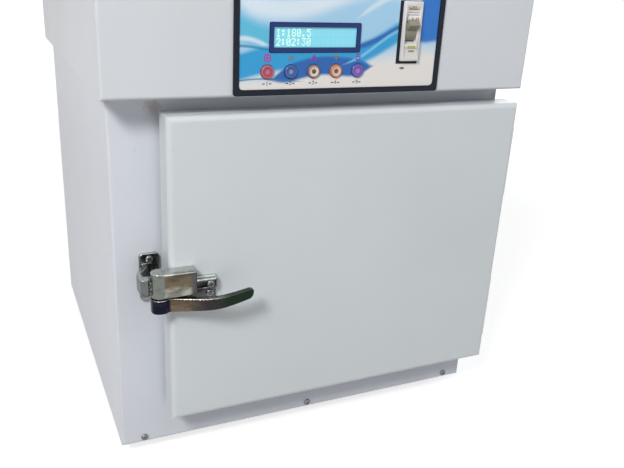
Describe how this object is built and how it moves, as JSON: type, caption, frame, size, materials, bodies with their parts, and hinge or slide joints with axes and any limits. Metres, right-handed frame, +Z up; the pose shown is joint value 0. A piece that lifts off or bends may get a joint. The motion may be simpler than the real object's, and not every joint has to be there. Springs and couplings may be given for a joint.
{
  "type": "dry heat sterilizer",
  "caption": "Bench-top hot air cabinet with a side-hinged insulated door, lever latch, wire shelves and a control header with display, buttons and breaker.",
  "frame": {"origin": "on the bench plane under the feet, below the middle of the whole product's outline, from the header's left side to the hinge barrels and from the lever to the rear louvres", "axes": "+X to the right of a person facing the door, +Y towards the rear, +Z up"},
  "size_m": [0.3524, 0.3856, 0.403],
  "materials": {
    "body_paint": "satin powder coat",
    "header_paint": "satin powder coat",
    "door_paint": "satin powder coat",
    "stainless": "brushed",
    "wire_steel": "bright plated",
    "latch_chrome": "polished plate over cast metal",
    "screw_steel": "zinc plated",
    "foot_rubber": "matte",
    "gasket_silicone": "matte",
    "mineral_wool": "fibrous",
    "heater_sheath": "dark oxide",
    "frame_black": "satin",
    "overlay_film": "printed film",
    "display_bezel": "gloss",
    "display_window": "backlit",
    "circuit_board": "solder mask",
    "switch_black": "moulded",
    "breaker_white": "moulded",
    "toggle_grey": "moulded",
    "rail_zinc": "zinc plated",
    "sink_aluminium": "extruded",
    "core_steel": "varnished laminations",
    "block_cream": "moulded",
    "blade_brass": "bright",
    "button_red": "gloss",
    "button_blue": "gloss",
    "button_cream": "gloss",
    "button_orange": "gloss",
    "button_purple": "gloss"
  },
  "bodies": {
    "cabinet": {"cabinet_wrap": "body_paint", "rear_panel": "body_paint", "rear_screws": "screw_steel", "front_screws": "screw_steel", "rubber_feet": "foot_rubber", "foot_screws": "screw_steel", "chamber_liner": "stainless", "insulation_jacket": "mineral_wool", "side_rack_left": "stainless", "side_rack_right": "stainless", "shelf_lower": "wire_steel", "shelf_upper": "wire_steel", "floor_plate": "stainless", "heater_tube": "heater_sheath", "heater_flange": "stainless", "temperature_probe": "stainless", "latch_keeper": "latch_chrome", "keeper_screws": "screw_steel", "cabinet_hinge_leaves": "stainless", "hinge_pins": "wire_steel", "cabinet_hinge_screws": "screw_steel", "header_shell": "header_paint", "header_floor": "rail_zinc", "header_rear_cover": "header_paint", "header_screws": "screw_steel", "plate_frame": "frame_black", "control_overlay": "overlay_film", "display_frame": "display_bezel", "display_glass": "display_window", "display_board": "circuit_board", "control_board": "circuit_board", "tact_switches": "switch_black", "breaker_case": "breaker_white", "breaker_rail": "rail_zinc", "relay_heat_sink": "sink_aluminium", "relay": "switch_black", "transformer": "core_steel", "terminal_block": "block_cream", "power_inlet": "switch_black", "inlet_blades": "blade_brass", "inlet_screws": "screw_steel"},
    "door": {"door_skin": "door_paint", "door_insulation": "mineral_wool", "door_liner": "stainless", "door_gasket": "gasket_silicone", "liner_screws": "screw_steel", "door_hinge_leaves": "stainless", "door_hinge_screws": "screw_steel", "latch_body": "latch_chrome", "latch_screws": "screw_steel"},
    "lever": {"latch_lever": "latch_chrome", "latch_spindle": "wire_steel", "latch_cam": "latch_chrome"},
    "toggle": {"breaker_toggle": "toggle_grey"},
    "button_1": {"button_1": "button_red"},
    "button_2": {"button_2": "button_blue"},
    "button_3": {"button_3": "button_cream"},
    "button_4": {"button_4": "button_orange"},
    "button_5": {"button_5": "button_purple"}
  },
  "joints": [
    {"name": "door_hinge", "type": "hinge", "parent": "cabinet", "child": "door", "pos_m": [0.17175, -0.1452, 0.169], "axis": [0, 0, 1], "range_deg": [0, 110]},
    {"name": "lever_turn", "type": "hinge", "parent": "door", "child": "lever", "pos_m": [-0.14175, -0.1742, 0.154], "axis": [0, 0, -1], "range_deg": [0, 35], "stiffness_Nm_per_rad": 0.15, "springref_deg": -5.73},
    {"name": "toggle_turn", "type": "hinge", "parent": "cabinet", "child": "toggle", "pos_m": [0.05125, -0.1676, 0.348], "axis": [1, 0, 0], "range_deg": [0, 75]},
    {"name": "button_1_press", "type": "slide", "parent": "cabinet", "child": "button_1", "axis": [0, 1, 0], "range_m": [0, 0.0012], "stiffness_N_per_m": 300},
    {"name": "button_2_press", "type": "slide", "parent": "cabinet", "child": "button_2", "axis": [0, 1, 0], "range_m": [0, 0.0012], "stiffness_N_per_m": 300},
    {"name": "button_3_press", "type": "slide", "parent": "cabinet", "child": "button_3", "axis": [0, 1, 0], "range_m": [0, 0.0012], "stiffness_N_per_m": 300},
    {"name": "button_4_press", "type": "slide", "parent": "cabinet", "child": "button_4", "axis": [0, 1, 0], "range_m": [0, 0.0012], "stiffness_N_per_m": 300},
    {"name": "button_5_press", "type": "slide", "parent": "cabinet", "child": "button_5", "axis": [0, 1, 0], "range_m": [0, 0.0012], "stiffness_N_per_m": 300}
  ]
}
